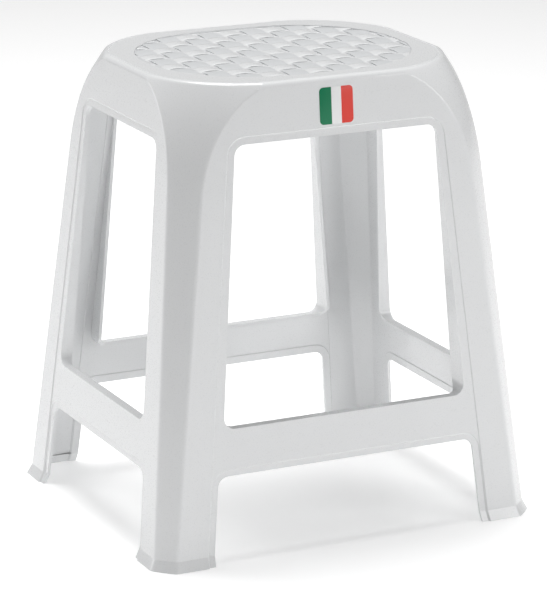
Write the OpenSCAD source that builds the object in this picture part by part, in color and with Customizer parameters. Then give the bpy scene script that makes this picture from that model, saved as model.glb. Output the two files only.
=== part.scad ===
/* [Overall] */
// Height of the stool, floor to seat
stool_height = 450; // [400:5:500]
// Width across the outer faces at the floor, left to right
floor_width = 399; // [360:1:480]
// Depth across the outer faces at the floor, front to back
floor_depth = 345; // [310:1:420]
// Width across the outer faces, carried up to seat level
top_width = 312; // [280:1:340]
// Depth across the outer faces, carried up to seat level
top_depth = 267; // [240:1:300]
// Wall of the moulding
wall = 3.2; // [2.8:0.1:4]

/* [Seat] */
// Thickness of the seat plate
seat_wall = 4; // [3.4:0.1:5]
// Rounding between the seat and the side faces
seat_edge_r = 6; // [5:0.5:8]
// Width of the plain rim round the woven field
rim_width = 22; // [18:1:30]
// Corner radius of the woven field
field_corner_r = 105; // [70:1:109]
// Depth of the woven field below the rim
field_depth = 1.6; // [1.4:0.1:2]
// Pitch of the weave, left to right
weave_pitch_x = 23.2; // [18:0.1:30]
// Pitch of the weave, front to back
weave_pitch_y = 24; // [18:0.1:30]
// Rise of each weave pad above the floor of the field
pad_rise = 1.3; // [0.6:0.1:1.4]
// Gap between neighbouring weave pads
pad_gap = 1.2; // [0.6:0.1:2]
// Radius of the round gate mark in the middle of the seat
gate_r = 4.5; // [3:0.5:7]
// Height of the ribs under the seat plate
rib_height = 8; // [5:0.5:14]
// Thickness of the ribs under the seat plate
rib_wall = 2; // [1.6:0.1:3]
// Distance between the ribs under the seat plate
rib_pitch = 60; // [50:1:80]

/* [Corners] */
// Corner radius of the seat, seen from above
seat_corner_r = 105; // [90:1:112]
// Radius of the shoulders' curve, seen from the side
shoulder_r = 220; // [200:5:240]
// Depth below the seat of the middle of that curve
shoulder_drop = 130; // [115:1:140]
// How far the corner facet cuts back the front face at the floor
facet_cut = 16; // [12:1:24]

/* [Openings] */
// Height of the windows' upper edge
window_top = 395; // [370:1:400]
// Height of the windows' lower edge, which is the top of the rails
window_foot = 129; // [110:1:160]
// Height of the underside of the rails
rail_foot = 84; // [60:1:95]
// Width of a leg on the front and back, out to the corner of the faces
leg_width = 56; // [46:1:66]
// Width of a leg at the sides, out to the corner of the faces
leg_depth = 55; // [46:1:66]
// How far the windows' lower corners come in from the line of the legs
window_taper = 2.5; // [0:0.5:6]
// Corner radius of the openings
opening_r = 11; // [8:0.5:16]

/* [Borders and lips] */
// Width of the sunk border round the openings
border_width = 7; // [5:0.5:9]
// Depth of each step of the sunk border
border_depth = 0.9; // [0.5:0.1:1]
// Inward depth of the lips round the windows, at their upper edge
lip_top = 5; // [4:0.5:8]
// Inward depth of the lips beside the front and back windows, at rail level
lip_foot = 26; // [12:1:30]
// Inward depth of the lips beside the side windows, at rail level
side_lip_foot = 14; // [10:1:20]
// Inward depth of the ledge along the top of the rails
ledge_depth = 10; // [6:0.5:12]

/* [Feet] */
// Height of the flare at the bottom of each leg
foot_height = 10; // [6:0.5:16]
// How far the flare stands out at the floor
foot_flare = 4; // [2:0.5:7]

/* [Label] */
// Width and height of the sticker
label_size = 36; // [25:1:38]
// Corner radius of the sticker
label_r = 5; // [2:0.5:8]
// Thickness of the sticker
label_wall = 0.3; // [0.2:0.05:0.5]
// Distance from the seat down to the middle of the sticker
label_drop = 27; // [26:1:30]

/* [Hidden] */
$fn = 96;

// Half sizes between the outer faces at the floor and at seat level
floor_x = floor_width / 2;
floor_y = floor_depth / 2;
top_x = top_width / 2;
top_y = top_depth / 2;
// Lean of the front face, in degrees from upright
front_lean = atan((floor_y - top_y) / stool_height);

// Upright axis of the back right corner
axis_x = top_x - seat_corner_r;
axis_y = top_y - seat_corner_r;
// Middle of the shoulder's curve, out from the corner's axis and up from the floor
shoulder_mid = [
    seat_corner_r - sqrt(shoulder_r * shoulder_r - shoulder_drop * shoulder_drop),
    stool_height - shoulder_drop
];
// The facet meets the floor here, out from the corner's axis
facet_foot = [norm([floor_x - facet_cut - axis_x, floor_y - axis_y]), 0];
// Lean of the facet, which runs up to touch the shoulder's curve
to_foot = facet_foot - shoulder_mid;
facet_lean = atan2(to_foot[1], to_foot[0]) + acos(shoulder_r / norm(to_foot));

// Level where the side faces pass into the seat's rounded edge
seat_foot = stool_height - seat_edge_r;
// Level where the legs pass into the shoulders
shoulder_foot = shoulder_mid[1];

// Half widths of the windows and of the gaps between the legs
window_top_x = face_at(floor_x, top_x, window_top) - leg_width;
window_foot_x = face_at(floor_x, top_x, window_foot) - leg_width - window_taper;
window_top_y = face_at(floor_y, top_y, window_top) - leg_depth;
window_foot_y = face_at(floor_y, top_y, window_foot) - leg_depth - window_taper;
gap_top_x = face_at(floor_x, top_x, rail_foot) - leg_width;
gap_top_y = face_at(floor_y, top_y, rail_foot) - leg_depth;
// Half lengths of the aprons and rails, which stop short of the openings' corners
apron_x = window_top_x - opening_r - border_width;
apron_y = window_top_y - opening_r - border_width;
rail_x = window_foot_x - opening_r - border_width;
rail_y = window_foot_y - opening_r - border_width;

// Level half way up the windows
window_middle = (window_top + window_foot) / 2;

// Half sizes of the woven field
field_x = top_x - rim_width;
field_y = top_y - rim_width;
field_r = min(field_corner_r, field_x - 2, field_y - 2);
field_floor = stool_height - field_depth;
seat_under = stool_height - seat_wall;

// How far cutting shapes run past what they cut, and a size larger than the stool
over = 30;
block = 600;
// How far an arc stands proud of the straight line it runs into, so that the two cross cleanly
nick = 0.004;

// Half distance between two leaning faces, at a level
function face_at(floor_half, top_half, level) =
    floor_half + (top_half - floor_half) * level / stool_height;
function unit(v) = v / norm(v);

// A convex outline, listed counter-clockwise, with true arcs at its corners
module rounded_outline(points, r) {
    n = len(points);
    arcs = [for (i = [0 : n - 1])
        let (
            before = unit(points[(i + n - 1) % n] - points[i]),
            after = unit(points[(i + 1) % n] - points[i]),
            half_angle = acos(before * after) / 2,
            reach = r / tan(half_angle)
        )
        [points[i] + before * reach,
         points[i] + after * reach,
         points[i] + unit(before + after) * r / sin(half_angle)]];
    polygon([
        for (arc = arcs)
            for (end = [arc[0], arc[1]])
                end + unit(arc[2] - end) * nick
    ]);
    for (arc = arcs)
        translate(arc[2])
            circle(r);
}

// Upright section between two leaning faces, with the seat's rounded edges
module face_section(floor_half, top_half, inset, top, foot) {
    lean = atan((floor_half - top_half) / stool_height);
    r = max(seat_edge_r - inset, 0.5);
    foot_half = face_at(floor_half, top_half, foot) - inset / cos(lean);
    arc_z = top - r;
    arc_x = face_at(floor_half, top_half, arc_z) - (inset + r) / cos(lean);
    side = [arc_x + r * cos(lean), arc_z + r * sin(lean)];
    polygon([
        [-foot_half, foot], [foot_half, foot], side, [arc_x, top],
        [-arc_x, top], [-side[0], side[1]]
    ]);
    for (s = [-1, 1])
        translate([s * arc_x, arc_z])
            circle(r);
}

// Section of a corner, from its upright axis out to the facet and the shoulder
module corner_section(inset, top, foot) {
    curve_r = shoulder_r - inset;
    low = shoulder_mid + (curve_r - nick) * [cos(facet_lean), sin(facet_lean)];
    r = max(seat_edge_r - inset, 0.5);
    arc_z = top - r;
    arc_x = shoulder_mid[0] + sqrt(pow(curve_r - r, 2) - pow(arc_z - shoulder_mid[1], 2));
    high = shoulder_mid + ([arc_x, arc_z] - shoulder_mid) * curve_r / (curve_r - r);
    polygon([
        [0, foot], [low[0] + tan(facet_lean) * (low[1] - foot), foot], low, high,
        [arc_x, top], [0, top]
    ]);
    intersection() {
        translate(shoulder_mid)
            circle(curve_r, $fn = 360);
        polygon([
            [low[0] - wall, low[1] - wall], [low[0] + over, low[1] - wall],
            [low[0] + over, high[1]], high, low
        ]);
    }
    translate([arc_x, arc_z])
        circle(r);
}

// Carries a shape from the back right corner to the corner with these signs
module in_corner(c) {
    mirror([c[0] < 0 ? 1 : 0, 0, 0])
        mirror([0, c[1] < 0 ? 1 : 0, 0])
            children();
}

// What lies outside a corner whose section is given, between two levels
module corner_cutter(top, foot) {
    difference() {
        translate([axis_x, axis_y, foot])
            cube([block, block, top - foot]);
        translate([axis_x, axis_y, 0])
            rotate_extrude($fn = 360)
                children();
    }
}

// Runs an outline right through the stool, front to back
module through_y() {
    rotate([90, 0, 0])
        linear_extrude(block, center = true)
            children();
}

// Runs an outline right through the stool, left to right
module through_x() {
    rotate([90, 0, 90])
        linear_extrude(block, center = true)
            children();
}

// The outer form of the stool, moved inwards by inset, with the listed corners cut
module form(inset, top, foot, corners) {
    difference() {
        intersection() {
            through_y()
                face_section(floor_x, top_x, inset, top, foot);
            through_x()
                face_section(floor_y, top_y, inset, top, foot);
        }
        for (c = corners)
            in_corner(c)
                corner_cutter(top, foot)
                    corner_section(inset, top, foot);
    }
}

// Outline of a window, grown by extra all round
module window_outline(top_half, foot_half, extra) {
    slope = (foot_half - top_half) / (window_top - window_foot);
    high = top_half + extra - slope * extra;
    low = foot_half + extra + slope * extra;
    rounded_outline([
        [-low, window_foot - extra], [low, window_foot - extra],
        [high, window_top + extra], [-high, window_top + extra]
    ], opening_r + extra);
}

// Outline of the gap between two legs under a rail, grown by extra at its top and sides
module gap_outline(top_half, floor_half, extra) {
    slope = (floor_half - top_half) / rail_foot;
    low = floor_half + extra + slope * over;
    high = top_half + extra - slope * extra;
    rounded_outline([
        [-low, -over], [low, -over],
        [high, rail_foot + extra], [-high, rail_foot + extra]
    ], opening_r + extra);
}

// Outline of the sunk face between two legs, from above the window down to the floor
module border_outline(top_half, floor_half) {
    slope = (floor_half - top_half) / window_top;
    low = floor_half + border_width + slope * over;
    high = top_half + border_width - slope * border_width;
    rounded_outline([
        [-low, -over], [low, -over],
        [high, window_top + border_width], [-high, window_top + border_width]
    ], opening_r + border_width);
}

// The windows and the gaps between the legs, on all four sides
module openings() {
    through_y() {
        window_outline(window_top_x, window_foot_x, 0);
        gap_outline(gap_top_x, floor_x - leg_width, 0);
    }
    through_x() {
        window_outline(window_top_y, window_foot_y, 0);
        gap_outline(gap_top_y, floor_y - leg_depth, 0);
    }
}

// The two steps of skin that are sunk between the legs
module sunk_borders(corners) {
    difference() {
        union() {
            through_y()
                border_outline(window_top_x, floor_x - leg_width);
            through_x()
                border_outline(window_top_y, floor_y - leg_depth);
        }
        form(border_depth, stool_height + 1, -over, corners);
    }
    difference() {
        union() {
            through_y()
                gap_outline(gap_top_x, floor_x - leg_width, border_width);
            through_x()
                gap_outline(gap_top_y, floor_y - leg_depth, border_width);
        }
        form(2 * border_depth, stool_height + 1, -over, corners);
    }
}

// Section of the space behind a face that its window's lips and its rail's ledge may fill
module lip_section(floor_half, top_half, depth_foot) {
    high = face_at(floor_half, top_half, window_top) - lip_top;
    low = face_at(floor_half, top_half, window_foot) - depth_foot;
    ledge = face_at(floor_half, top_half, window_foot) - ledge_depth;
    polygon([
        [low, window_foot], [block / 2, window_foot],
        [block / 2, window_top + wall], [high, window_top + wall], [high, window_top]
    ]);
    polygon([
        [ledge, window_foot - wall], [block / 2, window_foot - wall],
        [block / 2, window_foot], [ledge, window_foot]
    ]);
}

// Band of lip all round a window, seen square on
module lip_ring(top_half, foot_half) {
    difference() {
        window_outline(top_half, foot_half, wall);
        window_outline(top_half, foot_half, 0);
    }
}

// Lips and ledges of the back window and of the right window
module lips() {
    intersection() {
        through_y()
            lip_ring(window_top_x, window_foot_x);
        through_x()
            lip_section(floor_y, top_y, lip_foot);
    }
    intersection() {
        through_x()
            lip_ring(window_top_y, window_foot_y);
        through_y()
            lip_section(floor_x, top_x, side_lip_foot);
    }
}

// The back and right faces of the moulding, down from the seat's edge
module moulding(corners) {
    difference() {
        intersection() {
            union() {
                difference() {
                    form(0, stool_height, 0, corners);
                    form(wall, seat_under, -over, corners);
                }
                lips();
            }
            form(0, stool_height, 0, corners);
        }
        openings();
        sunk_borders(corners);
    }
}

// The back right corner of the moulding between two levels, without apron and rail
module corner_band(low, high) {
    intersection() {
        moulding([[1, 1]]);
        difference() {
            translate([0, 0, low])
                cube([block, block, high - low]);
            translate([-over, top_y / 2, window_middle])
                cube([apron_x + over, block, block]);
            translate([top_x / 2, -over, window_middle])
                cube([block, apron_y + over, block]);
            translate([-over, top_y / 2, 0])
                cube([rail_x + over, block, window_middle]);
            translate([top_x / 2, -over, 0])
                cube([block, rail_y + over, window_middle]);
        }
    }
}

module shoulder(c) {
    color("white")
        in_corner(c)
            corner_band(shoulder_foot, seat_foot);
}

module leg(c) {
    color("white")
        in_corner(c)
            corner_band(foot_height, shoulder_foot);
}

// Section through the flare between two opposite faces
module flare_section(floor_half, top_half) {
    high = face_at(floor_half, top_half, foot_height);
    low = floor_half + foot_flare;
    polygon([[-low, 0], [low, 0], [high, foot_height], [-high, foot_height]]);
}

// Section through the flare of a corner, from its upright axis out
module flare_corner_section() {
    polygon([
        [0, 0], [facet_foot[0] + foot_flare, 0],
        [facet_foot[0] - tan(facet_lean) * foot_height, foot_height], [0, foot_height]
    ]);
}

// The flared end of a leg, hollow like the leg above it
module foot(c) {
    color("white")
        in_corner(c)
            difference() {
                intersection() {
                    through_y()
                        flare_section(floor_x, top_x);
                    through_x()
                        flare_section(floor_y, top_y);
                    cube([block, block, foot_height]);
                }
                corner_cutter(foot_height, 0)
                    flare_corner_section();
                form(wall, seat_under, -over, [[1, 1]]);
                openings();
            }
}

// Straight middle part of the back rail
module long_rail() {
    intersection() {
        moulding([]);
        translate([-rail_x, top_y / 2, rail_foot])
            cube([2 * rail_x, block, window_foot - rail_foot]);
    }
}

// Straight middle part of the right rail
module short_rail() {
    intersection() {
        moulding([]);
        translate([top_x / 2, -rail_y, rail_foot])
            cube([block, 2 * rail_y, window_foot - rail_foot]);
    }
}

module rail_back() {
    color("white") long_rail();
}

module rail_front() {
    color("white") mirror([0, 1, 0]) long_rail();
}

module rail_right() {
    color("white") short_rail();
}

module rail_left() {
    color("white") mirror([1, 0, 0]) short_rail();
}

// Face above the back window
module long_apron() {
    intersection() {
        moulding([[1, 1], [-1, 1]]);
        translate([-apron_x, top_y / 2, window_top])
            cube([2 * apron_x, block, seat_foot - window_top]);
    }
}

// Face above the right window
module short_apron() {
    intersection() {
        moulding([[1, 1], [1, -1]]);
        translate([top_x / 2, -apron_y, window_top])
            cube([block, 2 * apron_y, seat_foot - window_top]);
    }
}

module apron_back() {
    color("white") long_apron();
}

module apron_front() {
    color("white") mirror([0, 1, 0]) long_apron();
}

module apron_right() {
    color("white") short_apron();
}

module apron_left() {
    color("white") mirror([1, 0, 0]) short_apron();
}

// Every corner of the stool
all_corners = [[1, 1], [-1, 1], [-1, -1], [1, -1]];

module field_outline() {
    rounded_outline([
        [-field_x, -field_y], [field_x, -field_y], [field_x, field_y], [-field_x, field_y]
    ], field_r);
}

// Plain rim of the seat with its rounded outer edge
module seat_rim() {
    color("white")
        difference() {
            intersection() {
                form(0, stool_height, 0, all_corners);
                translate([-block / 2, -block / 2, seat_foot])
                    cube([block, block, block]);
            }
            form(wall, seat_under, -over, all_corners);
            translate([0, 0, seat_foot])
                linear_extrude(block)
                    field_outline();
        }
}

// One pad: the visible crown of a strip that passes over its neighbour
module pad(length, width) {
    crown_r = length * length / (8 * pad_rise) + pad_rise / 2;
    intersection() {
        translate([-length / 2, -width / 2, field_floor - 0.4])
            cube([length, width, pad_rise + 1]);
        translate([0, 0, field_floor + pad_rise - crown_r])
            rotate([90, 0, 0])
                cylinder(r = crown_r, h = width + 1, center = true, $fn = 360);
    }
}

// Plaited field of the seat, with strips that pass over and under each other
module seat_weave() {
    across = ceil(field_x / weave_pitch_x);
    along = ceil(field_y / weave_pitch_y);
    color("white")
        difference() {
            union() {
                translate([0, 0, seat_under])
                    linear_extrude(field_floor - seat_under)
                        field_outline();
                intersection() {
                    translate([0, 0, seat_under])
                        linear_extrude(seat_wall)
                            field_outline();
                    for (i = [-across : across], j = [-along : along])
                        translate([i * weave_pitch_x, j * weave_pitch_y, 0])
                            if ((i + j) % 2 == 0)
                                pad(weave_pitch_x - pad_gap, weave_pitch_y - pad_gap);
                            else
                                rotate([0, 0, 90])
                                    pad(weave_pitch_y - pad_gap, weave_pitch_x - pad_gap);
                }
            }
            translate([0, 0, seat_under - 1])
                cylinder(r = gate_r, h = seat_wall + 2);
        }
}

// Round mark where the moulding was filled
module gate_mark() {
    color("gainsboro")
        translate([0, 0, seat_under])
            cylinder(r = gate_r, h = field_floor - seat_under + pad_rise / 2);
}

// Crossing ribs that stiffen the seat plate from below
module seat_ribs() {
    color("white")
        intersection() {
            form(wall, seat_under, -over, all_corners);
            union() {
                for (i = [-1 : 1])
                    translate([i * rib_pitch - rib_wall / 2, -block / 2, seat_under - rib_height])
                        cube([rib_wall, block, rib_height]);
                for (j = [-1 : 1])
                    translate([-block / 2, j * rib_pitch - rib_wall / 2, seat_under - rib_height])
                        cube([block, rib_wall, rib_height]);
            }
        }
}

// Plain three-colour sticker on the front apron
module label() {
    level = stool_height - label_drop;
    half = label_size / 2;
    color("seagreen")
        translate([0, -face_at(floor_y, top_y, level), level])
            rotate([90 - front_lean, 0, 0])
                linear_extrude(label_wall)
                    rounded_outline([[-half, -half], [half, -half], [half, half], [-half, half]],
                        label_r);
}

seat_rim();
seat_weave();
gate_mark();
seat_ribs();
apron_front();
apron_back();
apron_left();
apron_right();
shoulder([-1, -1]);  // shoulder_front_left
shoulder([1, -1]);  // shoulder_front_right
shoulder([-1, 1]);  // shoulder_back_left
shoulder([1, 1]);  // shoulder_back_right
leg([-1, -1]);  // leg_front_left
leg([1, -1]);  // leg_front_right
leg([-1, 1]);  // leg_back_left
leg([1, 1]);  // leg_back_right
rail_front();
rail_back();
rail_left();
rail_right();
foot([-1, -1]);  // foot_front_left
foot([1, -1]);  // foot_front_right
foot([-1, 1]);  // foot_back_left
foot([1, 1]);  // foot_back_right
label();
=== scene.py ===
# %% [markdown]
# # A stackable plastic stool
# The real stool is one injection moulding in glossy white plastic with a sticker on its front.
# This lesson builds its outer skin as flat sheets, curved sheets and narrow steps, gives the skin
# a wall, and then cuts the finished moulding into the same named parts as the measured frame.
# Sizes are in millimetres in the helpers and are turned into metres when a mesh is made.

# %% Load the frame
from math import acos, atan, atan2, cos, degrees, hypot, pi, radians, sin, sqrt, tan

import bmesh
import bpy
from mathutils import Matrix, Vector
from mathutils.kdtree import KDTree


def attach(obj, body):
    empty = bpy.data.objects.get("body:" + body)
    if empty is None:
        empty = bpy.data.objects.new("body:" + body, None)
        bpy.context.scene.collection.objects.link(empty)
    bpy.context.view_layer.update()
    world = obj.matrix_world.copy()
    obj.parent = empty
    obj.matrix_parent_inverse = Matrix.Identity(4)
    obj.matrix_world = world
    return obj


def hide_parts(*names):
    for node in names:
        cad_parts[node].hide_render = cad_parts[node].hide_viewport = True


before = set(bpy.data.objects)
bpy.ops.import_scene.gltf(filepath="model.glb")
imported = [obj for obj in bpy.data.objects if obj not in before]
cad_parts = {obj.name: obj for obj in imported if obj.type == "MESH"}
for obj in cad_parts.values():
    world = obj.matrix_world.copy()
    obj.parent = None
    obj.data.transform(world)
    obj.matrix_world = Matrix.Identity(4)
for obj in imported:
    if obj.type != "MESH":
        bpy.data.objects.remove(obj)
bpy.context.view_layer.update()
MM = 0.001

# %% [markdown]
# ## The stool's own measures
# Four flat faces lean inwards. At each corner they are cut by one smooth surface turned about an
# upright axis: a straight facet down the leg that runs into a round shoulder under the seat.

# %% Measures of the moulding
HEIGHT = 450
FLOOR_X, FLOOR_Y = 199.5, 172.5
TOP_X, TOP_Y = 156.0, 133.5
WALL = 3.2
EDGE_R = 6
AXIS_X, AXIS_Y = TOP_X - 105, TOP_Y - 105
SHOULDER_R, SHOULDER_Z = 220, 320
SHOULDER_X = 105 - sqrt(SHOULDER_R ** 2 - (HEIGHT - SHOULDER_Z) ** 2)
FACET_FOOT = hypot(FLOOR_X - 16 - AXIS_X, FLOOR_Y - AXIS_Y)
FOOT_TOP, FOOT_FLARE = 10, 4
SEAT_FOOT = HEIGHT - EDGE_R

WINDOW_TOP, WINDOW_FOOT, RAIL_FOOT = 395, 129, 84
WINDOW_NARROWS = 2.5
LEG_X, LEG_Y = 56, 55
OPENING_R, BORDER, STEP = 11, 7, 0.9
FIELD_X, FIELD_Y, FIELD_R = 134, 111.5, 105
FILLET_R, FILLET_REACH = 7.0, 2.0

to_foot = (FACET_FOOT - SHOULDER_X, -SHOULDER_Z)
FACET_LEAN = atan2(to_foot[1], to_foot[0]) + acos(SHOULDER_R / hypot(*to_foot))
FACET_TOP = SHOULDER_Z + SHOULDER_R * sin(FACET_LEAN)
ROUND_AXIS = SHOULDER_X + sqrt((SHOULDER_R - EDGE_R) ** 2 - (SEAT_FOOT - SHOULDER_Z) ** 2)
ROUND_FROM = SEAT_FOOT + EDGE_R * (SEAT_FOOT - SHOULDER_Z) / (SHOULDER_R - EDGE_R)
print("facet leans", round(degrees(FACET_LEAN), 2), "degrees and ends at", round(FACET_TOP, 1))

# %% Surfaces as functions of the level
def straight(floor_half, top_half, z):
    """Half distance between two leaning faces, carried on to any level."""
    return floor_half + (top_half - floor_half) * z / HEIGHT


def flare(z):
    return FOOT_FLARE * (FOOT_TOP - z) / FOOT_TOP if z < FOOT_TOP else 0


def face_half(floor_half, top_half, z, depth=0):
    """Half distance between two faces, with the seat's rounded edge and the feet's flare."""
    lean = atan((floor_half - top_half) / HEIGHT)
    if z <= SEAT_FOOT + EDGE_R * sin(lean):
        return straight(floor_half, top_half, z) - depth / cos(lean) + flare(z)
    arc = straight(floor_half, top_half, SEAT_FOOT) - EDGE_R / cos(lean)
    return arc + sqrt(max(EDGE_R ** 2 - (z - SEAT_FOOT) ** 2, 0))


def face_y(z, depth=0):
    return face_half(FLOOR_Y, TOP_Y, z, depth)


def face_x(z, depth=0):
    return face_half(FLOOR_X, TOP_X, z, depth)


def corner_r(z):
    """Distance of the corner's surface from its upright axis."""
    if z <= FACET_TOP:
        foot = SHOULDER_X + SHOULDER_R * cos(FACET_LEAN) + tan(FACET_LEAN) * FACET_TOP
        return foot - tan(FACET_LEAN) * z + flare(z)
    if z <= ROUND_FROM:
        return SHOULDER_X + sqrt(SHOULDER_R ** 2 - (z - SHOULDER_Z) ** 2)
    return ROUND_AXIS + sqrt(max(EDGE_R ** 2 - (z - SEAT_FOOT) ** 2, 0))


for level in (0, 10, 129, 320, 444, 450):
    print("level", level, "half sizes", round(face_x(level), 2), round(face_y(level), 2),
          "corner", round(corner_r(level), 2))

# %% [markdown]
# ## Outlines on the faces
# Each face has a window, a gap between the feet and two shallow steps round them. All of them are
# the same outline grown by a few millimetres, so one helper finds points on the leaning lines and
# one draws corners.

# %% Helpers that draw outlines on a face, as (across, level) points
def arc_points(mid, r, start, end, count):
    """Points on a circle from one angle to another, in degrees, both ends included."""
    angles = [radians(start + (end - start) * i / count) for i in range(count + 1)]
    return [(mid[0] + r * cos(a), mid[1] + r * sin(a)) for a in angles]


def taper(low, high):
    """Degrees that a line between two (across, level) points leans from upright."""
    return degrees(atan((low[0] - high[0]) / (high[1] - low[1])))


def point_on(line, z, grow=0):
    """Point of a leaning line at a level, moved square to the line by some millimetres."""
    low, high = line
    across = low[0] + (high[0] - low[0]) * (z - low[1]) / (high[1] - low[1])
    return across + grow / cos(radians(taper(low, high))), z


class Face:
    """Outlines of one face, half of it, from its middle to the corner of the stool."""

    def __init__(self, floor_half, top_half, leg):
        foot_inside = (floor_half - leg, 0)
        window_foot = straight(floor_half, top_half, WINDOW_FOOT) - leg - WINDOW_NARROWS
        window_top = straight(floor_half, top_half, WINDOW_TOP) - leg
        self.window = [(window_foot, WINDOW_FOOT), (window_top, WINDOW_TOP)]
        self.gap = [foot_inside, (straight(floor_half, top_half, RAIL_FOOT) - leg, RAIL_FOOT)]
        self.border = [foot_inside, self.window[1]]
        self.window_mid = point_on(self.window, WINDOW_TOP - OPENING_R, -OPENING_R)
        self.sill_mid = point_on(self.window, WINDOW_FOOT + OPENING_R, -OPENING_R)
        self.gap_mid = point_on(self.gap, RAIL_FOOT - OPENING_R, -OPENING_R)
        self.border_mid = point_on(self.border, WINDOW_TOP - OPENING_R, -OPENING_R)

    def corner(self, mid, line, grow, count=8):
        """The rounded upper corner of an outline, from the leaning line to the level one."""
        return arc_points(mid, OPENING_R + grow, taper(*line), 90, count)


front = Face(FLOOR_X, TOP_X, LEG_X)
side = Face(FLOOR_Y, TOP_Y, LEG_Y)
print("front window", front.window, "corner middle", front.window_mid)

# %% [markdown]
# ## The skin of one quarter
# The moulding is the same in all four quarters, so only the back right one is laid out. A face is
# a few flat sheets at three depths, joined by narrow 45 degree slopes. Flat sheets are single
# n-gons, because a plane needs no inner edges and a bevel beside it stays clean. The corner is a
# grid, whose rows are levels.

# %% Levels of the corner's rows
ROWS = [-3, FOOT_TOP] + list(range(20, 350, 20)) + [FACET_TOP]
ROWS += [357 + 6 * i for i in range(15)] + [SEAT_FOOT, 444.55]
EDGE_ROWS = [SEAT_FOOT + EDGE_R * sin(radians(a)) for a in (13, 21, 28)]
EDGE_ROWS += [ROUND_FROM] + [SEAT_FOOT + EDGE_R * sin(radians(a)) for a in (44, 53, 62, 71, 80, 90)]
CORNER_COLUMNS = 24
FILLET_STEPS = 4
GROOVE_WIDTH, GROOVE_DEPTH = 1.7, 0.95


def curve(start, bend, end, steps):
    """Points of a smooth bend between two points, ends left out."""
    points = []
    for i in range(1, steps):
        t = i / steps
        points.append(tuple((1 - t) ** 2 * s + 2 * t * (1 - t) * b + t * t * e
                            for s, b, e in zip(start, bend, end)))
    return points


def corner_row(z):
    """Plan points round the corner at a level, from the back face to the right face."""
    r, y, x = corner_r(z), face_y(z), face_x(z)
    first = atan2(y - AXIS_Y, sqrt(r * r - (y - AXIS_Y) ** 2))
    last = atan2(sqrt(r * r - (x - AXIS_X) ** 2), x - AXIS_X)
    reach_first = max(FILLET_R * tan((pi / 2 - first) / 2), FILLET_REACH)
    reach_last = max(FILLET_R * tan(last / 2), FILLET_REACH)

    def on_arc(angle):
        return AXIS_X + r * cos(angle), AXIS_Y + r * sin(angle)

    edge_first, edge_last = on_arc(first), on_arc(last)
    start, end = first - reach_first / r, last + reach_last / r
    row = [(edge_first[0] - reach_first, y)]
    row += curve(row[0], edge_first, on_arc(start), FILLET_STEPS)
    row += [on_arc(start + (end - start) * i / CORNER_COLUMNS) for i in range(CORNER_COLUMNS + 1)]
    finish = (x, edge_last[1] - reach_last)
    row += curve(row[-1], edge_last, finish, FILLET_STEPS) + [finish]
    return row


def at_level(row, z):
    return [(x, y, z) for x, y in row]


def inset_row(row, distance):
    """A plan row moved inwards, square to itself."""
    moved = []
    for i, point in enumerate(row):
        before, after = row[max(i - 1, 0)], row[min(i + 1, len(row) - 1)]
        along = Vector((after[0] - before[0], after[1] - before[1])).normalized()
        moved.append((point[0] + along.y * distance, point[1] - along.x * distance))
    return moved


print("corner rows:", len(ROWS) + len(EDGE_ROWS), "columns:", len(corner_row(100)))

# %% Sheets of the two faces
sheets = []


def strip(one, other):
    """Quads between two lines of points."""
    for i in range(len(one) - 1):
        sheets.append([one[i], one[i + 1], other[i + 1], other[i]])


LIP_TOP, LEDGE = 5, 10
LIP_FOOT = {"back": 26, "right": 14}


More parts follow.
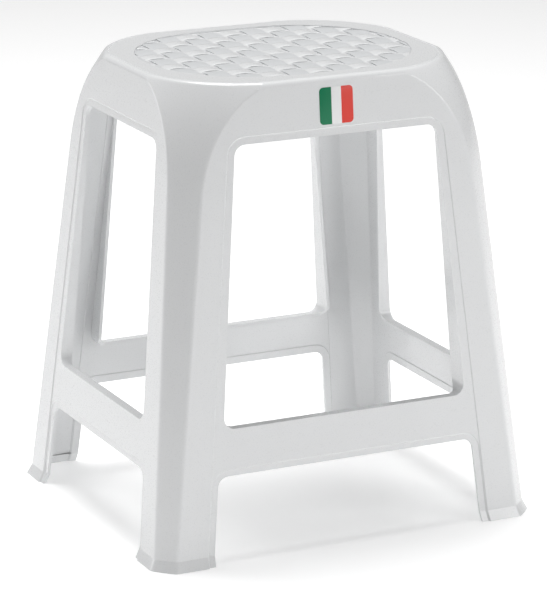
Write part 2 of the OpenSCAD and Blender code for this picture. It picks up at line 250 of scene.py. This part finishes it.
def lay_face(face, name):
    is_back = name == "back"
    half = face_y if is_back else face_x

    def at_distance(point, out):
        across, z = point
        return (across, out, z) if is_back else (out, across, z)

    def place(point, depth=0.0):
        return at_distance(point, half(point[1], depth))

    def edge_point(z):
        row = corner_row(z)
        return (row[0][0], z) if is_back else (row[-1][1], z)

    outer, inner = BORDER + STEP, BORDER - STEP
    c_arc = face.corner(face.gap_mid, face.gap, BORDER)
    touch = c_arc[0][1]
    low_a, low_b = point_on(face.border, FOOT_TOP, outer), point_on(face.border, FOOT_TOP, BORDER)
    line_a = [low_a, point_on(face.border, touch, outer)]
    line_a += face.corner(face.border_mid, face.border, outer) + [(0, WINDOW_TOP + outer)]
    line_b = [low_b, c_arc[0]] + face.corner(face.border_mid, face.border, BORDER)
    line_b += [(0, WINDOW_TOP + BORDER)]
    line_c = [low_b] + c_arc + [(0, RAIL_FOOT + BORDER)]
    line_d = [point_on(face.gap, FOOT_TOP, inner)] + face.corner(face.gap_mid, face.gap, inner)
    line_d += [(0, RAIL_FOOT + inner)]
    line_g = [point_on(face.gap, FOOT_TOP)] + face.corner(face.gap_mid, face.gap, 0)
    line_g += [(0, RAIL_FOOT)]
    lean = taper(*face.window)
    sill = arc_points(face.sill_mid, OPENING_R, -90, lean, 10)
    line_w = [(0, WINDOW_FOOT)] + sill + face.corner(face.window_mid, face.window, 0, 10)
    line_w += [(0, WINDOW_TOP)]

    def skin(points, depth):
        return [place(p, depth) for p in points]

    arch = [edge_point(z) for z in reversed(ROWS[1:])]
    sheets.append(skin([(0, ROWS[-1])] + arch + line_a, 0))
    sheets.append(skin(line_b[1:] + line_w[::-1], STEP) + skin(line_c[:1:-1], STEP))
    sheets.append(skin(line_d + line_g[::-1], 2 * STEP))
    strip(skin(line_a, 0), skin(line_b, STEP))
    strip(skin(line_c, STEP), skin(line_d, 2 * STEP))
    low = ROWS[0]
    foot_low = [edge_point(low), point_on(face.border, low, outer),
                point_on(face.border, low, BORDER),
                point_on(face.gap, low, inner), point_on(face.gap, low)]
    foot_high = [arch[-1], low_a, low_b, line_d[0], line_g[0]]
    depths = [0, 0, STEP, 2 * STEP, 2 * STEP]
    strip(*([place(p, d) for p, d in zip(row, depths)] for row in (foot_high, foot_low)))

    lip_high, lip_low = half(WINDOW_TOP) - LIP_TOP, half(WINDOW_FOOT) - LIP_FOOT[name]
    ledge = half(WINDOW_FOOT) - LEDGE
    rear = []
    for i, (across, z) in enumerate(line_w):
        out = lip_low + (lip_high - lip_low) * (z - WINDOW_FOOT) / (WINDOW_TOP - WINDOW_FOOT)
        if i <= len(sill):
            share = min(max((i - 1) / (len(sill) - 1), 0), 1)
            share = share * share * (3 - 2 * share)
            out = ledge + (out - ledge) * share
        rear.append(at_distance((across, z), out))
    strip(skin(line_w, STEP), rear)
    rim_levels = ROWS[-1:] + EDGE_ROWS
    strip([place((0, z)) for z in rim_levels], [place(edge_point(z)) for z in rim_levels])
    return len(line_w)


for name, face in (("back", front), ("right", side)):
    print(name, "window outline has", lay_face(face, name), "points")
print("sheets:", len(sheets))

# %% Sheets of the corner and of the seat's rim
levels = ROWS + EDGE_ROWS
for low, high in zip(levels, levels[1:]):
    strip(at_level(corner_row(low), low), at_level(corner_row(high), high))

top_row = [(0, face_y(HEIGHT))] + corner_row(HEIGHT) + [(face_x(HEIGHT), 0)]
groove = inset_row(top_row, GROOVE_WIDTH / 2)
rim_edge = inset_row(top_row, GROOVE_WIDTH)
groove[0], rim_edge[0] = (0, groove[0][1]), (0, rim_edge[0][1])
groove[-1], rim_edge[-1] = (groove[-1][0], 0), (rim_edge[-1][0], 0)
strip(at_level(top_row, HEIGHT), at_level(groove, HEIGHT - GROOVE_DEPTH))
strip(at_level(groove, HEIGHT - GROOVE_DEPTH), at_level(rim_edge, HEIGHT))
field_mid = (FIELD_X - FIELD_R, FIELD_Y - FIELD_R)
field_quarter = [(0, FIELD_Y)] + arc_points(field_mid, FIELD_R, 90, 0, 24) + [(FIELD_X, 0)]
sheets.append(at_level(rim_edge, HEIGHT) + at_level(field_quarter[::-1], HEIGHT))
print("sheets in the quarter:", len(sheets))

# %% Helpers for meshes
def deselect_all():
    if bpy.context.object and bpy.context.object.mode != "OBJECT":
        bpy.ops.object.mode_set(mode="OBJECT")
    bpy.ops.object.select_all(action="DESELECT")


def take(obj):
    """Makes one object the only selected and active one."""
    deselect_all()
    obj.select_set(True)
    bpy.context.view_layer.objects.active = obj
    return obj


def new_piece(name, faces):
    """A mesh object from lists of points in millimetres, with equal points merged."""
    points, numbers, found = [], [], {}
    for face in faces:
        row = []
        for point in face:
            key = tuple(round(c, 4) for c in point)
            if key not in found:
                found[key] = len(points)
                points.append([c * MM for c in key])
            if not row or row[-1] != found[key]:
                row.append(found[key])
        if row[0] == row[-1]:
            row.pop()
        if len(set(row)) > 2:
            numbers.append(row)
    mesh = bpy.data.meshes.new(name)
    mesh.from_pydata(points, [], numbers)
    obj = bpy.data.objects.new(name, mesh)
    bpy.context.scene.collection.objects.link(obj)
    return obj


def apply_modifier(obj, kind, **settings):
    take(obj)
    modifier = obj.modifiers.new(kind.title(), kind)
    for key, value in settings.items():
        setattr(modifier, key, value)
    bpy.ops.object.modifier_apply(modifier=modifier.name)


def turn_outwards(obj):
    take(obj)
    bpy.ops.object.mode_set(mode="EDIT")
    bpy.ops.mesh.select_all(action="SELECT")
    bpy.ops.mesh.normals_make_consistent(inside=False)
    bpy.ops.object.mode_set(mode="OBJECT")


def cut(obj, co, no, ring=False):
    """Cuts away the side that no points to, and closes the cut or the ring it leaves."""
    take(obj)
    bpy.ops.object.mode_set(mode="EDIT")
    bpy.ops.mesh.select_mode(type="EDGE")
    bpy.ops.mesh.select_all(action="SELECT")
    bpy.ops.mesh.bisect(plane_co=[c * MM for c in co], plane_no=no, clear_outer=True,
                        threshold=1e-7)
    bpy.ops.mesh.select_all(action="DESELECT")
    bpy.ops.mesh.select_non_manifold(extend=False, use_wire=False, use_boundary=True,
                                     use_multi_face=False, use_non_contiguous=False,
                                     use_verts=False)
    if ring:
        bpy.ops.mesh.bridge_edge_loops()
    else:
        bpy.ops.mesh.fill_holes(sides=0)
    bpy.ops.object.mode_set(mode="OBJECT")


# %% [markdown]
# ## The wall
# The skin is mirrored to all four quarters, turned outwards and given its wall. The feet were
# laid out a little too long, so that one level cut gives them a flat end. A small bevel rounds
# every free edge.

# %% Give the skin its wall
FREE_EDGE_R = 0.7
shell = new_piece("shell", sheets)
apply_modifier(shell, "MIRROR", use_axis=(True, True, False), merge_threshold=1e-5)
turn_outwards(shell)
apply_modifier(shell, "SOLIDIFY", thickness=WALL * MM, offset=-1, use_even_offset=True,
               use_quality_normals=True)
cut(shell, (0, 0, 0), (0, 0, -1))
apply_modifier(shell, "BEVEL", width=FREE_EDGE_R * MM, segments=2, limit_method="ANGLE",
               angle_limit=radians(80), use_clamp_overlap=True)
bm = bmesh.new()
bm.from_mesh(shell.data)
open_edges = sum(1 for e in bm.edges if len(e.link_faces) != 2)
print("shell:", len(shell.data.polygons), "faces, open edges:", open_edges,
      "volume cm3:", round(bm.calc_volume() * 1e6, 1))
bm.free()

# %% [markdown]
# ## Normals
# Large flat faces should set the direction in which a surface faces, and the narrow fillets
# beside them only bend the light at their own width. The weighted normal modifier does that on
# the whole shell, before it is cut, so that neighbouring parts shade alike where they meet.

# %% Weigh the shell's normals
SHARP_FROM = radians(18)


def smooth(obj, angle=radians(30)):
    take(obj)
    bpy.ops.object.shade_smooth_by_angle(angle=angle)


def weigh_normals(obj):
    smooth(obj, SHARP_FROM)
    apply_modifier(obj, "WEIGHTED_NORMAL", mode="FACE_AREA", weight=60, keep_sharp=True)


weigh_normals(shell)
print("shell has its own normals:", shell.data.has_custom_normals)

# %% [markdown]
# ## Cutting the moulding into its parts
# Each part is a copy of the shell with everything outside its own planes cut away. The cuts lie a
# hair beside the rows of the grid, so that no cut runs along an edge.

# %% Cut planes and the parts between them
HAIR = 0.03
SEAT_CUT, SHOULDER_CUT, FOOT_CUT = SEAT_FOOT + HAIR, SHOULDER_Z + HAIR, FOOT_TOP - HAIR
APRON_X, APRON_Y = 87.3 + HAIR, 65.3 + HAIR
RAIL_X, RAIL_Y = 110.5 + HAIR, 85.8 + HAIR
WINDOW_MIDDLE = (WINDOW_TOP + WINDOW_FOOT) / 2
FACE_FROM = 31


def copy_of(obj, name):
    twin = obj.copy()
    twin.data = obj.data.copy()
    twin.name = twin.data.name = name
    bpy.context.scene.collection.objects.link(twin)
    return twin


CUT_PLANES = [(2, SEAT_CUT), (2, SHOULDER_CUT), (2, FOOT_CUT)]
CUT_PLANES += [(0, s * d) for s in (-1, 1) for d in (APRON_X, RAIL_X)]
CUT_PLANES += [(1, s * d) for s in (-1, 1) for d in (APRON_Y, RAIL_Y)]
shell_tree = KDTree(len(shell.data.vertices))
for vertex in shell.data.vertices:
    shell_tree.insert(vertex.co, vertex.index)
shell_tree.balance()
shell_corners = {}
for polygon in shell.data.polygons:
    for corner in polygon.loop_indices:
        vertex = shell.data.loops[corner].vertex_index
        shell_corners.setdefault(vertex, []).append(
            (polygon.normal.copy(), shell.data.corner_normals[corner].vector.copy()))


def keep_normals(obj):
    """Gives a part the shell's normals again, and leaves the flat ends of the cuts plain."""
    weigh_normals(obj)
    mesh = obj.data
    normals = [n.vector.copy() for n in mesh.corner_normals]
    near = []
    for vertex in mesh.vertices:
        _, index, distance = shell_tree.find(vertex.co)
        near.append(shell_corners[index] if distance < 2 * HAIR * MM else None)
    flats = 0
    for polygon in mesh.polygons:
        if any(all(abs(mesh.vertices[v].co[axis] - at * MM) < 2e-6 for v in polygon.vertices)
               for axis, at in CUT_PLANES):
            flats += 1
            for corner in polygon.loop_indices:
                normals[corner] = polygon.normal.copy()
            continue
        for corner in polygon.loop_indices:
            choices = near[mesh.loops[corner].vertex_index]
            if choices:
                best = max(choices, key=lambda pair: pair[0].dot(polygon.normal))
                if best[0].dot(polygon.normal) > 0.99:
                    normals[corner] = best[1]
    mesh.normals_split_custom_set([tuple(n) for n in normals])
    return flats


def cut_part(node, *planes):
    """A part of the shell, from (axis, place, side to keep) planes."""
    piece = copy_of(shell, node + "_moulding")
    for axis, at, keep in planes:
        point, normal = [0, 0, 0], [0, 0, 0]
        point[axis], normal[axis] = at, -keep
        cut(piece, point, normal, ring=len(planes) == 1)
    flats = keep_normals(piece)
    parts[node] = piece
    print(node, len(piece.data.polygons), "faces,", flats, "cut ends")


parts = {}
X, Y, Z = 0, 1, 2
cut_part("seat_rim", (Z, SEAT_CUT, 1))
SIDES = (("front", Y, -1), ("back", Y, 1), ("left", X, -1), ("right", X, 1))
for word, across, sign in SIDES:
    along = X + Y - across
    apron, rail = (APRON_X, RAIL_X) if along == X else (APRON_Y, RAIL_Y)
    outside = (across, sign * FACE_FROM, sign)
    cut_part("apron_" + word, outside, (along, apron, -1), (along, -apron, 1),
             (Z, WINDOW_MIDDLE, 1), (Z, SEAT_CUT, -1))
    cut_part("rail_" + word, outside, (along, rail, -1), (along, -rail, 1), (Z, WINDOW_MIDDLE, -1))
CORNERS = [(f + "_" + s, sx, sy) for f, sy in (("front", -1), ("back", 1))
           for s, sx in (("left", -1), ("right", 1))]
for where, sx, sy in CORNERS:
    rail_ends = [(X, sx * RAIL_X, sx), (Y, sy * RAIL_Y, sy)]
    apron_ends = [(X, sx * APRON_X, sx), (Y, sy * APRON_Y, sy)]
    cut_part("foot_" + where, *rail_ends, (Z, FOOT_CUT, -1))
    cut_part("leg_" + where, *rail_ends, (Z, FOOT_CUT, 1), (Z, SHOULDER_CUT, -1))
    cut_part("shoulder_" + where, *apron_ends, (Z, SHOULDER_CUT, 1), (Z, SEAT_CUT, -1))

# %% [markdown]
# ## The seat's woven field
# The field copies plaited strips: along one diagonal of the checker a strip runs left to right,
# on the other it runs front to back. Each visible crown is one pad, high in its middle and
# dipping at its two ends, where it goes under its neighbours.

# %% One pad of each kind, copied over the field
FIELD_FLOOR, SEAT_UNDER = HEIGHT - 1.7, 446
PITCH_X, PITCH_Y = 23.2, 24.0
STRIP_ALONG_X, STRIP_ALONG_Y = 19.0, 21.0
PAD_GAP = 0.5
PAD_TOP, PAD_END, PAD_BODY = HEIGHT - 0.15, HEIGHT - 1.9, 1.8
LONG_EDGE_DROP, LONG_EDGE_FROM = 0.4, 0.8
CENTRE_SINK = 0.8
PAD_ROWS = [-1, -0.97, -0.88, -0.5, 0, 0.5, 0.88, 0.97, 1]


def pad(name, length, width):
    """A pad along X: crowned lengthways, with rounded long edges and a thin closed body."""
    deselect_all()
    bpy.ops.mesh.primitive_grid_add(x_subdivisions=12, y_subdivisions=len(PAD_ROWS) - 1, size=1)
    obj = bpy.context.object
    obj.name = obj.data.name = name
    for vertex in obj.data.vertices:
        u = 2 * vertex.co.x
        v = PAD_ROWS[round((vertex.co.y + 0.5) * (len(PAD_ROWS) - 1))]
        crown = PAD_END + (PAD_TOP - PAD_END) * (1 - u * u)
        edge = LONG_EDGE_DROP * (max(abs(v) - LONG_EDGE_FROM, 0) / (1 - LONG_EDGE_FROM)) ** 2
        narrow = 1 - 0.05 * u ** 4
        vertex.co = (u * length / 2 * MM, v * narrow * width / 2 * MM, (crown - edge) * MM)
    apply_modifier(obj, "SOLIDIFY", thickness=PAD_BODY * MM, offset=-1)
    return obj


plastic = bpy.data.materials.new("white_polypropylene")
# The front-to-back strips get a more matt plastic whose greyer colour is painted shade.
matt_painted_shade_plastic = bpy.data.materials.new("matt_painted_shade_polypropylene")
along_pad = pad("pad_along_x", 2 * PITCH_X - STRIP_ALONG_Y - PAD_GAP, STRIP_ALONG_X - PAD_GAP)
across_pad = pad("pad_along_y", 2 * PITCH_Y - STRIP_ALONG_X - PAD_GAP, STRIP_ALONG_Y - PAD_GAP)
across_pad.data.transform(Matrix.Rotation(pi / 2, 4, "Z"))
along_pad.data.materials.append(plastic)
across_pad.data.materials.append(matt_painted_shade_plastic)
print("pad faces:", len(along_pad.data.polygons))


def in_field(x, y, grow):
    """Whether a point lies inside the field's outline grown by some millimetres."""
    over_x, over_y = max(abs(x) - field_mid[0], 0), max(abs(y) - field_mid[1], 0)
    return hypot(over_x, over_y) < FIELD_R + grow


def join(pieces, name):
    take(pieces[0])
    for piece in pieces[1:]:
        piece.select_set(True)
    bpy.ops.object.join()
    joined = bpy.context.object
    joined.name = joined.data.name = name
    return joined


PAD_REACH_X, PAD_REACH_Y, PAD_CORE, FIELD_MARGIN = 14, 14.5, 9, 0.6
whole, trimmed = [], []
for i in range(-7, 8):
    for j in range(-6, 7):
        x, y = i * PITCH_X, j * PITCH_Y
        source = along_pad if (i + j) % 2 == 0 else across_pad
        inside = [in_field(x + sx * PAD_REACH_X, y + sy * PAD_REACH_Y, -FIELD_MARGIN)
                  for sx in (-1, 1) for sy in (-1, 1)]
        reach = [in_field(x + sx * PAD_CORE, y + sy * PAD_CORE, -FIELD_MARGIN)
                 for sx in (-1, 0, 1) for sy in (-1, 0, 1)]
        if not any(reach):
            continue
        twin = copy_of(source, "pad")
        sink = CENTRE_SINK if (i, j) == (0, 0) else 0
        twin.data.transform(Matrix.Translation((x * MM, y * MM, -sink * MM)))
        (whole if all(inside) else trimmed).append(twin)


def field_prism(name, inset, low, high):
    """A solid with the field's outline, from a level to another."""
    quarter = arc_points(field_mid, FIELD_R - inset, 0, 90, 32)
    outline = quarter + [(-x, y) for x, y in reversed(quarter)]
    outline += [(-x, -y) for x, y in quarter] + [(x, -y) for x, y in reversed(quarter)]
    count = len(outline)
    faces = [at_level(outline, high), at_level(outline[::-1], low)]
    for i in range(count):
        a, b = outline[i], outline[(i + 1) % count]
        faces.append([(*a, low), (*b, low), (*b, high), (*a, high)])
    return new_piece(name, faces)


edge_pads = join(trimmed, "edge_pads")
trimmer = field_prism("trimmer", 0.5, HEIGHT - 8, HEIGHT + 5)
apply_modifier(edge_pads, "BOOLEAN", object=trimmer, operation="INTERSECT", solver="EXACT",
               use_self=False)
plate = field_prism("seat_plate", 0, SEAT_UNDER, FIELD_FLOOR)
plate.data.materials.append(plastic)
weave = join([plate, edge_pads] + whole, "woven_field")
for spare in (trimmer, along_pad, across_pad):
    bpy.data.objects.remove(spare)
smooth(weave, radians(35))
parts["seat_weave"] = weave
print("woven field:", len(weave.data.polygons), "faces,",
      sum(p.material_index == 1 for p in weave.data.polygons), "of them grained",
      [m.name for m in weave.data.materials])

# %% [markdown]
# ## The gate mark
# Plastic entered the mould at the middle of the seat and left a small round scar there. It could
# be painted with a bump, but a bump is lost when the piece is printed, so it is a short cylinder
# whose top is inset and pushed down and up again.

# %% Gate mark
GATE_R, GATE_TALL, GATE_MIDDLE = 4.2, 2.2, HEIGHT - 1.2 - CENTRE_SINK
deselect_all()
bpy.ops.mesh.primitive_cylinder_add(vertices=40, radius=GATE_R * MM, depth=GATE_TALL * MM,
                                    location=(0, 0, GATE_MIDDLE * MM))
gate = bpy.context.object
gate.name = gate.data.name = "gate_scar"
bpy.ops.object.transform_apply(location=True, rotation=True, scale=True)
bpy.ops.object.mode_set(mode="EDIT")
bpy.ops.mesh.select_all(action="DESELECT")
bpy.ops.object.mode_set(mode="OBJECT")
for polygon in gate.data.polygons:
    polygon.select = polygon.normal.z > 0.9
bpy.ops.object.mode_set(mode="EDIT")
bpy.ops.mesh.inset(thickness=0.9 * MM)
bpy.ops.mesh.extrude_region_move(TRANSFORM_OT_translate={"value": (0, 0, -0.7 * MM)})
bpy.ops.mesh.inset(thickness=1.9 * MM)
bpy.ops.mesh.extrude_region_move(TRANSFORM_OT_translate={"value": (0, 0, 0.6 * MM)})
bpy.ops.object.mode_set(mode="OBJECT")
apply_modifier(gate, "BEVEL", width=0.12 * MM, segments=2, limit_method="ANGLE",
               angle_limit=radians(40))
smooth(gate)
parts["gate_mark"] = gate

# %% [markdown]
# ## The ribs
# Ribs stiffen the seat from below. They taper downwards so that the moulding leaves its mould.
# Each one is a cube stretched across the seat, narrowed at its lower edge, and the six are joined
# into one piece.

# %% Ribs under the seat
RIB_TOP, RIB_FOOT = SEAT_UNDER + 0.9, SEAT_UNDER - 8
RIB_WIDTH, RIB_TAPER, RIB_EDGE = 2.0, 0.7, 0.3
ribs = []
for lengthways, length in ((X, 2 * (face_x(440) - WALL)), (Y, 2 * (face_y(440) - WALL))):
    sideways = X + Y - lengthways
    for place in (-60, 0, 60):
        deselect_all()
        bpy.ops.mesh.primitive_cube_add(size=1, location=(0, 0, (RIB_TOP + RIB_FOOT) / 2 * MM))
        rib = bpy.context.object
        rib.scale[lengthways], rib.scale[sideways] = length * MM, RIB_WIDTH * MM
        rib.scale[Z] = (RIB_TOP - RIB_FOOT) * MM
        rib.location[sideways] = place * MM
        bpy.ops.object.transform_apply(location=True, rotation=True, scale=True)
        for vertex in rib.data.vertices:
            if vertex.co.z < RIB_FOOT * MM + 1e-6:
                middle = place * MM
                vertex.co[sideways] = middle + (vertex.co[sideways] - middle) * RIB_TAPER
        apply_modifier(rib, "BEVEL", width=RIB_EDGE * MM, segments=2, limit_method="ANGLE",
                       angle_limit=radians(40))
        ribs.append(rib)
ribs = join(ribs, "seat_ribs_crossing")
smooth(ribs)
parts["seat_ribs"] = ribs

# %% [markdown]
# ## The sticker
# The sticker is thin film with rounded corners, printed in three plain bands. A plane with
# bevelled corners gives the outline, and it is laid on the leaning front face before it gets its
# thickness, so that it lies flat on the plastic.

# %% Sticker
LABEL_SIZE, LABEL_R, LABEL_WALL, LABEL_DROP = 35, 4, 0.25, 27
label_z = HEIGHT - LABEL_DROP
front_lean = atan((FLOOR_Y - TOP_Y) / HEIGHT)
deselect_all()
bpy.ops.mesh.primitive_plane_add(size=LABEL_SIZE * MM)
sticker = bpy.context.object
sticker.name = sticker.data.name = "sticker_film"
bpy.ops.object.mode_set(mode="EDIT")
bpy.ops.mesh.select_all(action="SELECT")
bpy.ops.mesh.bevel(offset=LABEL_R * MM, segments=10, affect="VERTICES")
bpy.ops.object.mode_set(mode="OBJECT")
sticker.data.transform(Matrix.Translation((0, -face_y(label_z) * MM, label_z * MM))
                       @ Matrix.Rotation(pi / 2 - front_lean, 4, "X"))
apply_modifier(sticker, "SOLIDIFY", thickness=LABEL_WALL * MM, offset=1)
apply_modifier(sticker, "BEVEL", width=0.06 * MM, segments=2, limit_method="ANGLE",
               angle_limit=radians(60))
smooth(sticker)
parts["label"] = sticker
print("parts:", len(parts))

# %% [markdown]
# ## Finishes
# The plastic is polished polypropylene: almost white, very slightly cool, with a soft gloss and a
# faint fine grain from the mould. The strips that run front to back are more matt, and their
# colour is painted shade: greyer, standing in for the light those strips turn away from. The
# sticker is printed film.

# %% Materials
def start_nodes(material):
    material.use_nodes = True
    return material.node_tree.nodes, material.node_tree.links


def finish_plastic(material, dark, light, smooth, rough, coat):
    """Polypropylene: one fine grain in colour, gloss and height, under a clear skin."""
    nodes, links = start_nodes(material)
    skin = nodes["Principled BSDF"]
    skin.inputs["Specular IOR Level"].default_value = 0.5
    skin.inputs["IOR"].default_value = 1.49
    skin.inputs["Coat Weight"].default_value = coat
    skin.inputs["Coat Roughness"].default_value = 0.06
    coords = nodes.new("ShaderNodeTexCoord")
    grain = nodes.new("ShaderNodeTexNoise")
    grain.inputs["Scale"].default_value = 900.0
    grain.inputs["Detail"].default_value = 2.0
    links.new(coords.outputs["Object"], grain.inputs["Vector"])
    tint = nodes.new("ShaderNodeValToRGB")
    tint.color_ramp.elements[0].position, tint.color_ramp.elements[1].position = 0.25, 0.75
    tint.color_ramp.elements[0].color, tint.color_ramp.elements[1].color = dark, light
    links.new(grain.outputs["Fac"], tint.inputs["Fac"])
    links.new(tint.outputs["Color"], skin.inputs["Base Color"])
    gloss = nodes.new("ShaderNodeMapRange")
    gloss.inputs["From Min"].default_value, gloss.inputs["From Max"].default_value = 0.3, 0.7
    gloss.inputs["To Min"].default_value, gloss.inputs["To Max"].default_value = smooth, rough
    links.new(grain.outputs["Fac"], gloss.inputs["Value"])
    links.new(gloss.outputs["Result"], skin.inputs["Roughness"])
    bump = nodes.new("ShaderNodeBump")
    bump.inputs["Strength"].default_value = 0.08
    bump.inputs["Distance"].default_value = 0.00005
    links.new(grain.outputs["Fac"], bump.inputs["Height"])
    links.new(bump.outputs["Normal"], skin.inputs["Normal"])


finish_plastic(plastic, (0.820, 0.828, 0.834, 1), (0.828, 0.835, 0.841, 1), 0.27, 0.29, 0.5)
# Painted shade: this base colour is darker than the plain plastic's and stands in for light; the
# higher roughness and thin coat make it matt.
finish_plastic(matt_painted_shade_plastic, (0.600, 0.612, 0.622, 1), (0.620, 0.630, 0.640, 1), 0.42, 0.46, 0.1)

film = bpy.data.materials.new("printed_film")
fn, fl = start_nodes(film)
ink = fn["Principled BSDF"]
ink.inputs["Specular IOR Level"].default_value = 0.4
where = fn.new("ShaderNodeTexCoord")
split = fn.new("ShaderNodeSeparateXYZ")
fl.new(where.outputs["Object"], split.inputs["Vector"])
span = fn.new("ShaderNodeMapRange")
span.inputs["From Min"].default_value, span.inputs["From Max"].default_value = -0.0175, 0.0175
fl.new(split.outputs["X"], span.inputs["Value"])
bands = fn.new("ShaderNodeValToRGB")
bands.color_ramp.interpolation = "CONSTANT"
bands.color_ramp.elements[0].position = 0.0
bands.color_ramp.elements[0].color = (0.002, 0.2, 0.085, 1)
bands.color_ramp.elements[1].position = 0.352
bands.color_ramp.elements[1].color = (0.9, 0.9, 0.9, 1)
red = bands.color_ramp.elements.new(0.648)
red.color = (0.76, 0.045, 0.028, 1)
fl.new(span.outputs["Result"], bands.inputs["Fac"])
fl.new(bands.outputs["Color"], ink.inputs["Base Color"])
mottle = fn.new("ShaderNodeTexNoise")
mottle.inputs["Scale"].default_value = 260.0
fl.new(where.outputs["Object"], mottle.inputs["Vector"])
sheen = fn.new("ShaderNodeMapRange")
sheen.inputs["To Min"].default_value, sheen.inputs["To Max"].default_value = 0.28, 0.42
fl.new(mottle.outputs["Fac"], sheen.inputs["Value"])
fl.new(sheen.outputs["Result"], ink.inputs["Roughness"])
print("materials:", [m.name for m in bpy.data.materials if m in (plastic, matt_painted_shade_plastic, film)])

# %% [markdown]
# ## Handing over
# Every finished piece stands for the measured part of the same name and rides on the stool's one
# body. The sticker takes the printed film as its material and the others the white plastic; the
# seat's field keeps the two materials that its strips were given.

# %% Hand the parts over to the frame
for node, piece in parts.items():
    # The woven field keeps its plain plastic and its matt plastic with painted shade.
    if node != "seat_weave":
        piece.data.materials.clear()
        piece.data.materials.append(film if node == "label" else plastic)
    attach(piece, "root")
    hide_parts(node)
bpy.data.objects.remove(shell)
print("handed over:", sorted(parts))

# %% [markdown]
# ## Camera, light and floor
# The stool stands on a white floor in soft studio light. The camera looks down a little from the
# left. The floor glows faintly, so that it stays white, and three lamps come from the left rear,
# the front right and above, which leaves the corner that faces the camera a little darker than
# the faces beside it.

# %% Camera
AZIMUTH, ELEVATION, DISTANCE = radians(-25.76), radians(16.05), 3.22723
TARGET = Vector((0.00046, 0, 0.19835))
camera_data = bpy.data.cameras.new("camera")
camera_data.sensor_width = 36
camera_data.lens = 195.95
camera = bpy.data.objects.new("camera", camera_data)
back = Vector((sin(AZIMUTH) * cos(ELEVATION), -cos(AZIMUTH) * cos(ELEVATION), sin(ELEVATION)))
camera.location = TARGET + back * DISTANCE
camera.rotation_euler = (TARGET - camera.location).to_track_quat("-Z", "Y").to_euler()
bpy.context.scene.collection.objects.link(camera)
bpy.context.scene.camera = camera
print("camera at", [round(c, 3) for c in camera.location])

# %% Floor and light
deselect_all()
bpy.ops.mesh.primitive_plane_add(size=14)
floor = bpy.context.object
floor.name = "floor"
floor_material = bpy.data.materials.new("studio_floor")
floor_skin = start_nodes(floor_material)[0]["Principled BSDF"]
floor_skin.inputs["Base Color"].default_value = (0.93, 0.93, 0.93, 1)
floor_skin.inputs["Roughness"].default_value = 0.9
floor_skin.inputs["Emission Color"].default_value = (1, 1, 1, 1)
floor_skin.inputs["Emission Strength"].default_value = 0.32
floor.data.materials.append(floor_material)

world = bpy.data.worlds.new("studio")
world.use_nodes = True
world.node_tree.nodes["Background"].inputs["Color"].default_value = (1, 1, 1, 1)
world.node_tree.nodes["Background"].inputs["Strength"].default_value = 0.22
bpy.context.scene.world = world


def area_light(name, place, size, power):
    data = bpy.data.lights.new(name, "AREA")
    data.shape, data.size, data.energy = "DISK", size, power
    lamp = bpy.data.objects.new(name, data)
    lamp.location = place
    lamp.rotation_euler = (TARGET - Vector(place)).to_track_quat("-Z", "Y").to_euler()
    bpy.context.scene.collection.objects.link(lamp)


area_light("left_light", (-2.6, 1.9, 1.0), 1.6, 17)
area_light("right_light", (2.2, -2.6, 1.2), 1.6, 29)
area_light("top_light", (0.0, 0.6, 3.2), 1.8, 80)
bpy.context.scene.view_settings.view_transform = "Standard"
